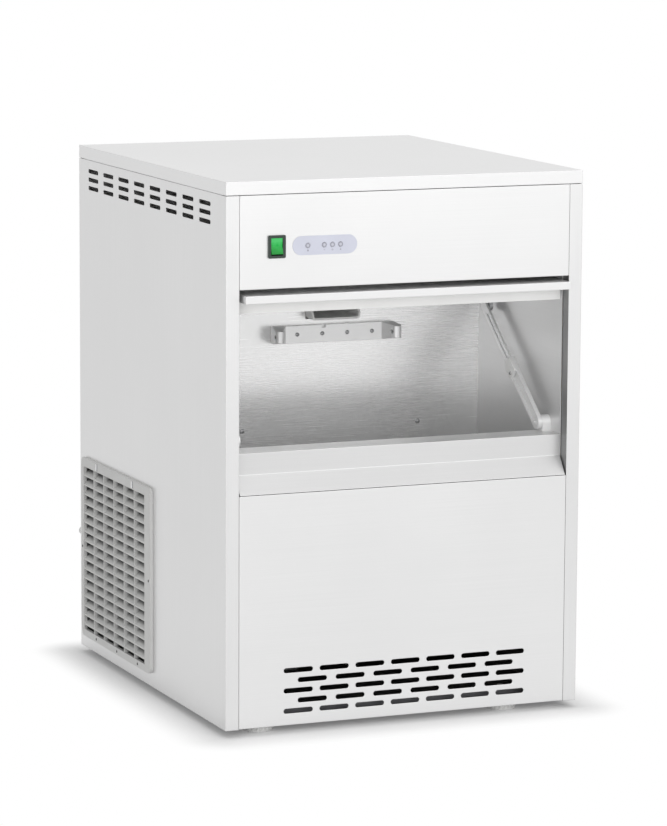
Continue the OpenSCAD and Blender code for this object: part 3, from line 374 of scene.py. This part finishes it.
FINISHES = {
    "steel_front": steel("steel_front", grey(0.76), ACROSS, vary=0.025),
    # steel_side is a shade darker than steel_front: painted shade for the sides, which face away from the
    # main light.
    "steel_side": steel("steel_side", grey(0.73), UPRIGHT),
    "steel_inner": steel("steel_inner", (0.6, 0.61, 0.62), ACROSS, rough=(0.4, 0.55)),
    "liner_steel": steel("liner_steel", grey(0.92), FINE, rough=(0.24, 0.3), metal=0.68, vary=0.02,
                         brush=0.1),
    "stay_steel": steel("stay_steel", grey(0.88), DRAWN, metal=0.25, edge=0.0005),
    "screw_steel": steel("screw_steel", (0.45, 0.45, 0.46), TURNED, metal=0.9, edge=0.0003),
    "white_plastic": plastic("white_plastic", (0.86, 0.86, 0.85)),
    "grey_plastic": plastic("grey_plastic", grey(0.9)),
    # The grille gets painted shade deep in its cells and a painted highlight on its clips.
    "grille_plastic": clipped_grille("grille_with_clips", (0.62, 0.62, 0.61), grey(0.95)),
    "black_plastic": plastic("black_plastic", (0.022, 0.035, 0.028), rough=(0.28, 0.4)),
    "green_plastic": lit_green("green_plastic"),
    "orange_plastic": plastic("orange_plastic", (0.8, 0.33, 0.05)),
    "foot_plastic": plastic("foot_plastic", (0.74, 0.74, 0.73)),
    "overlay_film": film("overlay_film", (0.63, 0.645, 0.74), rough=(0.3, 0.4)),
    "lens_plastic": film("lens_plastic", (0.58, 0.59, 0.66), rough=(0.2, 0.3)),
    "foam": foam_block("foam", dark=(0.6, 0.5, 0.28), light=(0.8, 0.7, 0.45)),
    "foam_black": foam_block("foam_black", dark=grey(0.012), light=grey(0.04), scale=500.0),
    "board": circuit("board"),
    "fins": fin_stack("fins"),
    "grey_paint": paint("grey_paint", (0.3, 0.31, 0.33)),
    "black_paint": paint("black_paint", (0.02, 0.02, 0.022)),
    "copper": copper_tube("copper"),
    "rubber": rubbery("rubber", grey(0.025)),
    "hose": rubbery("hose", grey(0.46), rough=(0.4, 0.55)),
}
OWN_FINISHES = {
    # The sill is the front steel made darker: painted shade on the sill below the bin's opening.
    "bin_sill": steel("shaded_sill_steel", grey(0.67), ACROSS, vary=0.025),
    # The bin's right wall is much darker than the liner: painted shade inside the bin.
    "bin_right_wall": steel("shaded_wall_steel", grey(0.66), ALONG, rough=(0.28, 0.36), metal=0.6, brush=0.1),
    # The side panels: the side steel's darker tone, which is painted shade, and painted shade on their inner
    # returns.
    "left_side_panel": steel("left_panel_steel", grey(0.73), UPRIGHT, shade_facing=1),
    "right_side_panel": steel("right_panel_steel", grey(0.73), UPRIGHT, shade_facing=-1),
    "sensor_bracket": steel("bracket_steel", grey(0.84), ACROSS, metal=0.5, edge=0.0006, vary=0.02,
                            brush=0.1),
    # The base pan is near black: painted shade for the dark inside of the cabinet's base.
    "base_pan": steel("shaded_pan_steel", (0.2, 0.2, 0.21), ACROSS, rough=(0.4, 0.55)),
}
INK = film("ink", (0.36, 0.36, 0.42), rough=(0.35, 0.45))


def dress():
    """Gives each CAD node its own finish, or else its slot's."""
    for name, obj in nodes.items():
        for held in obj.material_slots:
            slot = held.material.name.split(".")[0]
            held.material = OWN_FINISHES.get(name, FINISHES[slot])


# Small fasteners, marks and threads

def add_piece(name, bm, finish, body):
    mesh = bpy.data.meshes.new(name)
    bm.to_mesh(mesh)
    bm.free()
    mesh.materials.append(finish)
    piece = bpy.data.objects.new(name, mesh)
    scene.collection.objects.link(piece)
    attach(piece, body)
    return piece


def around(steps):
    """Angles of a full turn in even steps."""
    return [2 * math.pi * i / steps for i in range(steps)]


def spun(bm, profile, steps=28):
    """A solid of revolution round Z from points of radius and height, from the rim to the tip on the axis."""
    rings = []
    for radius, height in profile[:-1]:
        ring = [(radius * math.cos(t), radius * math.sin(t), height) for t in around(steps)]
        rings.append([bm.verts.new(co) for co in ring])
    tip = bm.verts.new((0, 0, profile[-1][1]))
    for low, high in zip(rings, rings[1:]):
        for i in range(steps):
            j = (i + 1) % steps
            bm.faces.new((low[i], low[j], high[j], high[i])).smooth = True
    for i in range(steps):
        bm.faces.new((rings[-1][i], rings[-1][(i + 1) % steps], tip)).smooth = True
    bm.faces.new(list(reversed(rings[0])))


def block(bm, low, high):
    made = bmesh.ops.create_cube(bm, size=1.0)["verts"]
    size = [b - a for a, b in zip(low, high)]
    middle = [(a + b) / 2 for a, b in zip(low, high)]
    bmesh.ops.scale(bm, vec=size, verts=made)
    bmesh.ops.translate(bm, vec=middle, verts=made)


def cut_away(solid, tool):
    """The solid less the tool, both given as bmeshes, by an exact boolean."""
    objs = []
    for bm in (solid, tool):
        mesh = bpy.data.meshes.new("scratch")
        bm.to_mesh(mesh)
        bm.free()
        objs.append(bpy.data.objects.new("scratch", mesh))
        scene.collection.objects.link(objs[-1])
    step = objs[0].modifiers.new("cut", "BOOLEAN")
    step.object = objs[1]
    bpy.context.view_layer.update()
    shaped = objs[0].evaluated_get(bpy.context.evaluated_depsgraph_get())
    result = bpy.data.meshes.new_from_object(shaped)
    for obj in objs:
        bpy.data.objects.remove(obj)
    return result


def screw_head():
    """A pan head of unit radius with a cross recess, standing on Z = 0."""
    reach, half, floor, over = 0.52, 0.11, 0.34, 1.0
    head = bmesh.new()
    spun(head, [(1.0, -0.1), (1.0, 0.12), (0.95, 0.3), (0.8, 0.5), (0.55, 0.64), (0.28, 0.7), (0, 0.72)])
    cross = bmesh.new()
    block(cross, (-reach, -half, floor), (reach, half, over))
    other = bmesh.new()
    block(other, (-half, -reach, floor), (half, reach, over))
    once = cut_away(head, cross)
    again = bmesh.new()
    again.from_mesh(once)
    return cut_away(again, other)


HEAD = screw_head()


def screws(name, places, out, radius, body, finish="screw_steel", stands_for=None):
    """Cross-head screws at these points of a face, looking along out."""
    bm = bmesh.new()
    facing = Vector(out).to_track_quat("Z", "Y").to_matrix().to_4x4()
    for i, place in enumerate(places):
        start = len(bm.verts)
        bm.from_mesh(HEAD)
        bm.verts.ensure_lookup_table()
        turn = Matrix.Rotation(CROSS_TURN + CROSS_STEP * i, 4, "Z")
        where = Matrix.Translation(place) @ facing @ turn @ Matrix.Scale(radius, 4)
        bmesh.ops.transform(bm, matrix=where, verts=bm.verts[start:])
    piece = add_piece(name, bm, FINISHES[finish], body)
    if stands_for:
        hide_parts(stands_for)


def screw_row(name, stands_for, count):
    """Screws in place of a CAD row that runs along X and faces the front."""
    low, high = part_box(stands_for)
    radius = (high.z - low.z) / 2
    z = (high.z + low.z) / 2
    run = (high.x - low.x - 2 * radius) / (count - 1)
    places = [(low.x + radius + i * run, high.y, z) for i in range(count)]
    screws(name, places, (0, -1, 0), radius, "cabinet", stands_for=stands_for)


def screw_stays():
    low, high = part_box("stay_blocks")
    face = min(v.co.x for v in nodes["stay_blocks"].data.vertices if v.co.x > 0)
    lean = math.radians(STAY_LEAN)
    y = (low.y + high.y) / 2 - STAY_DOWN * math.cos(lean) + STAY_BELOW * math.sin(lean)
    z = (low.z + high.z) / 2 - STAY_DOWN * math.sin(lean) - STAY_BELOW * math.cos(lean)
    screws("stay_screws_right", [(face, y, z)], (-1, 0, 0), STAY_SCREW, "stay_rail")
    screws("stay_screws_left", [(-face, y, z)], (1, 0, 0), STAY_SCREW, "stay_rail")


def screw_grille():
    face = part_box("side_grille")[0].x + GRILLE_SINK
    places = [(face, y, GRILLE_FOOT_Z) for y in GRILLE_FOOT_Y]
    places += [(face, y, GRILLE_SIDE_Z) for y in GRILLE_SIDE_Y]
    screws("grille_screws", places, (-1, 0, 0), GRILLE_SCREW, "cabinet", "black_paint")


def screw_back():
    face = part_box("back_panel")[1].y
    places = [(x, face, z) for x in (-BACK_X, BACK_X) for z in BACK_Z]
    screws("back_screws", places, (0, 1, 0), BACK_SCREW, "cabinet")


def fit_screws():
    screw_row("bracket_screw_heads", "bracket_screws", 4)
    screw_row("bin_screw_heads", "bin_screws", 2)
    screw_stays()
    screw_grille()
    screw_back()


def shade_clips():
    """A dark strip of painted shadow at the front side of each clip on the grille's top rail."""
    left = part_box("side_grille")[0].x
    proud = [v.co for v in nodes["side_grille"].data.vertices if v.co.x < left + CLIP_RISE / 2]
    bottom, top = min(co.z for co in proud), max(co.z for co in proud)
    fronts = sorted({round(co.y, 4) for co in proud})[::2]
    face = left + CLIP_RISE
    clip_shadows = bmesh.new()
    for front in fronts:
        # Painted shadow: a thin dark sheet laid on the frame beside each clip.
        block(clip_shadows, (face - SHADOW_RISE, front - CLIP_SHADOW_WIDTH, bottom), (face + SHADOW_SINK, front, top))
    add_piece("grille_clip_shadows", clip_shadows, FINISHES["grey_paint"], "cabinet")


def disc_ring(bm, centre, inner, outer, steps=32):
    """A flat ring of print that faces the front."""
    x, y, z = centre
    loops = []
    for radius, depth in ((outer, 0), (outer, -PRINT_THICK), (inner, -PRINT_THICK), (inner, 0)):
        loop = [(x + radius * math.cos(t), y + depth, z + radius * math.sin(t)) for t in around(steps)]
        loops.append([bm.verts.new(co) for co in loop])
    for a, b in zip(loops, loops[1:]):
        for i in range(steps):
            j = (i + 1) % steps
            bm.faces.new((a[i], a[j], b[j], b[i]))
    bmesh.ops.remove_doubles(bm, verts=bm.verts, dist=1e-7)


def patch(bm, centre, half_wide, half_tall):
    """A flat rectangle of print that faces the front."""
    x, y, z = centre
    block(bm, (x - half_wide, y - PRINT_THICK, z - half_tall), (x + half_wide, y, z + half_tall))


def print_marks():
    """Rings on the indicator lenses and plain generic marks below them."""
    low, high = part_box("led_lenses")
    radius = (high.z - low.z) / 2
    z = (high.z + low.z) / 2
    spots = [low.x + radius + step for step in LENS_STEPS]
    rings = bmesh.new()
    for x in spots:
        disc_ring(rings, (x, low.y + PRINT_SINK, z), RING_INNER, radius - RING_MARGIN)
    add_piece("lens_rings", rings, INK, "cabinet")
    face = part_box("indicator_overlay")[0].y + PRINT_SINK
    first, second, third, fourth = [(x, face, z - MARK_DROP) for x in spots]
    signs = bmesh.new()
    disc_ring(signs, first, SPOT_INNER, SPOT_OUTER)
    patch(signs, second, DASH_HALF, DASH_HALF_TALL)
    disc_ring(signs, third, CIRCLE_INNER, CIRCLE_OUTER)
    patch(signs, fourth, SQUARE_HALF, SQUARE_HALF)
    add_piece("strip_marks", signs, INK, "cabinet")


def wind_thread():
    """Helical ridge on the water inlet's free end, behind the back panel."""
    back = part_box("back_panel")[1].y
    end = [v.co for v in nodes["water_valve"].data.vertices if v.co.y > back]
    x = (min(co.x for co in end) + max(co.x for co in end)) / 2
    z = (min(co.z for co in end) + max(co.z for co in end)) / 2
    radius = max(co.x for co in end) - x
    start = min(co.y for co in end) + THREAD_INSET
    profile = ((THREAD_ROOT, -THREAD_HALF), (THREAD_CREST, 0), (THREAD_ROOT, THREAD_HALF))
    bm = bmesh.new()
    rows = []
    for i in range(THREAD_TURNS * THREAD_STEPS + 1):
        t = 2 * math.pi * i / THREAD_STEPS
        y = start + THREAD_PITCH * i / THREAD_STEPS
        row = []
        for rise, shift in profile:
            reach = radius + rise
            row.append(bm.verts.new((x + reach * math.cos(t), y + shift, z + reach * math.sin(t))))
        rows.append(row)
    for a, b in zip(rows, rows[1:]):
        for i in range(3):
            j = (i + 1) % 3
            bm.faces.new((a[i], a[j], b[j], b[i])).smooth = True
    bm.faces.new(rows[0])
    bm.faces.new(list(reversed(rows[-1])))
    bmesh.ops.recalc_face_normals(bm, faces=bm.faces)
    add_piece("inlet_thread", bm, FINISHES["white_plastic"], "cabinet")


# Camera, floor and light

def aim_camera():
    data = bpy.data.cameras.new("camera")
    data.lens = LENS_MM
    data.sensor_width = SENSOR_MM
    data.clip_end = FAR
    camera = bpy.data.objects.new("camera", data)
    scene.collection.objects.link(camera)
    yaw, pitch, roll = math.radians(YAW), math.radians(PITCH), math.radians(ROLL)
    ahead = Vector((math.sin(yaw) * math.cos(pitch), math.cos(yaw) * math.cos(pitch), -math.sin(pitch)))
    level = Vector((math.cos(yaw), -math.sin(yaw), 0.0))
    upward = level.cross(ahead)
    right = level * math.cos(roll) + upward * math.sin(roll)
    above = upward * math.cos(roll) - level * math.sin(roll)
    turn = Matrix((right, above, -ahead)).transposed().to_4x4()
    camera.matrix_world = Matrix.Translation(EYE) @ turn
    scene.camera = camera


def seen_white(tree):
    """1 for rays that should see plain white: camera, glossy and transmission rays."""
    path = tree.nodes.new("ShaderNodeLightPath")
    seen = path.outputs["Is Camera Ray"]
    for kind in ("Is Glossy Ray", "Is Transmission Ray"):
        either = tree.nodes.new("ShaderNodeMath")
        either.operation = "MAXIMUM"
        tree.links.new(seen, either.inputs[0])
        tree.links.new(path.outputs[kind], either.inputs[1])
        seen = either.outputs[0]
    return seen


def blend(tree, factor, first, second, out):
    """Mixes two shaders by a factor and sends them to the output node."""
    mix = tree.nodes.new("ShaderNodeMixShader")
    tree.links.new(factor, mix.inputs["Fac"])
    tree.links.new(first.outputs[0], mix.inputs[1])
    tree.links.new(second.outputs[0], mix.inputs[2])
    tree.links.new(mix.outputs[0], out.inputs["Surface"])


def set_world():
    """Soft light from all round, seen as plain white."""
    world = bpy.data.worlds.new("studio")
    scene.world = world
    world.use_nodes = True
    tree = world.node_tree
    tree.nodes.clear()
    fill = tree.nodes.new("ShaderNodeBackground")
    fill.inputs["Strength"].default_value = WORLD_FILL
    white = tree.nodes.new("ShaderNodeBackground")
    white.inputs["Strength"].default_value = 1.0
    for each in (fill, white):
        each.inputs["Color"].default_value = (1, 1, 1, 1)
    blend(tree, seen_white(tree), fill, white, tree.nodes.new("ShaderNodeOutputWorld"))


def past_footprint(tree):
    """How far a point of the floor is from the footprint."""
    link = tree.nodes.new("ShaderNodeTexCoord").outputs["Object"]
    steps = (("ABSOLUTE", None), ("SUBTRACT", FOOTPRINT), ("MAXIMUM", (0, 0, 0)), ("LENGTH", None))
    for operation, value in steps:
        away = tree.nodes.new("ShaderNodeVectorMath")
        away.operation = operation
        if value:
            away.inputs[1].default_value = value
        tree.links.new(link, away.inputs[0])
        link = away.outputs["Value" if operation == "LENGTH" else "Vector"]
    return link


def floor_look():
    """Pale floor that fades to white away from the object, for the rays that see the background; its darker
    zone round the footprint is painted shade, with the lamps' real shadow in it.
    """
    mat = bpy.data.materials.new("floor")
    mat.use_nodes = True
    tree = mat.node_tree
    shader = tree.nodes["Principled BSDF"]
    shader.inputs["Base Color"].default_value = (*grey(FLOOR_TONE), 1)
    shader.inputs["Roughness"].default_value = 0.9
    shader.inputs["Specular IOR Level"].default_value = 0.1
    # Painted shade: the white glow falls off towards the footprint.
    fade = tree.nodes.new("ShaderNodeMapRange")
    fade.interpolation_type = "SMOOTHSTEP"
    fade.inputs["From Max"].default_value = FADE_REACH
    fade.inputs["To Min"].default_value = FADE_LEAST
    tree.links.new(past_footprint(tree), fade.inputs["Value"])
    seen = tree.nodes.new("ShaderNodeMath")
    seen.operation = "MULTIPLY"
    tree.links.new(fade.outputs["Result"], seen.inputs[0])
    tree.links.new(seen_white(tree), seen.inputs[1])
    glow = tree.nodes.new("ShaderNodeEmission")
    glow.inputs["Color"].default_value = (1, 1, 1, 1)
    glow.inputs["Strength"].default_value = 1.0
    blend(tree, seen.outputs[0], shader, glow, tree.nodes["Material Output"])
    return mat


def lay_floor():
    mesh = bpy.data.meshes.new("floor")
    turns = ((-1, -1), (1, -1), (1, 1), (-1, 1))
    mesh.from_pydata([(FLOOR_HALF * x, FLOOR_HALF * y, 0) for x, y in turns], [], [(0, 1, 2, 3)])
    floor = bpy.data.objects.new("floor", mesh)
    floor.location.z = -FLOOR_DROP
    scene.collection.objects.link(floor)
    mesh.materials.append(floor_look())


def hang_lamp(name, place, target, size, power):
    data = bpy.data.lights.new(name, "AREA")
    data.shape = "RECTANGLE"
    data.size, data.size_y = size
    data.energy = power
    lamp = bpy.data.objects.new(name, data)
    lamp.location = place
    lamp.rotation_mode = "QUATERNION"
    lamp.rotation_quaternion = (Vector(target) - Vector(place)).to_track_quat("-Z", "Y")
    scene.collection.objects.link(lamp)


def light_studio():
    hang_lamp("key", place=(0.8, -3.8, 2.0), target=(-0.1, 0, 0.45), size=(4.4, 3.0), power=53)
    hang_lamp("fill", place=(-2.3, -3.0, 0.9), target=(0, 0, 0.45), size=(2.6, 1.6), power=27)
    hang_lamp("top", place=(0.2, -0.2, 3.2), target=(0, 0, 0.4), size=(2.6, 2.6), power=8)


dress()
fit_screws()
shade_clips()
print_marks()
wind_thread()
aim_camera()
set_world()
lay_floor()
light_studio()
scene.view_settings.view_transform = "Standard"
